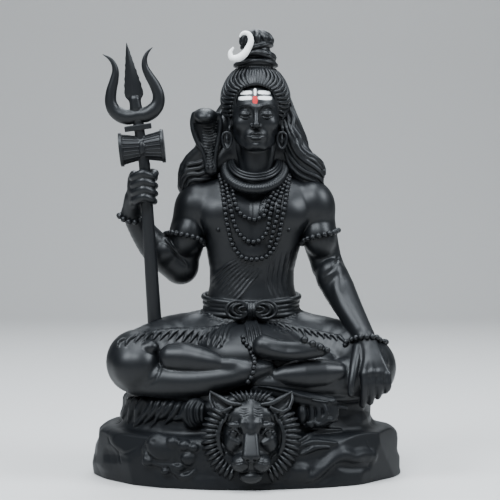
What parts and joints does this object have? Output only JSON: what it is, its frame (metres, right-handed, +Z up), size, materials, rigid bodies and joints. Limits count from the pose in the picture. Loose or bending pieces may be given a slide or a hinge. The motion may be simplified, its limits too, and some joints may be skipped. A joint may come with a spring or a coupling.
{
  "type": "shiva figure",
  "caption": "Seated cast figure with raised and resting hand, bead strands, hood snake and tall hair knot, holding a loose three-pronged staff, on an oval rock base with a tiger head.",
  "frame": {"origin": "centre of the base's flat underside", "axes": "+Z up, the face and the tiger's head towards -Y, +X towards the resting hand"},
  "size_m": [0.1465, 0.1166, 0.2111],
  "materials": {
    "resin": "satin"
  },
  "bodies": {
    "root": {"figure": "resin", "trident": "resin"}
  },
  "joints": []
}
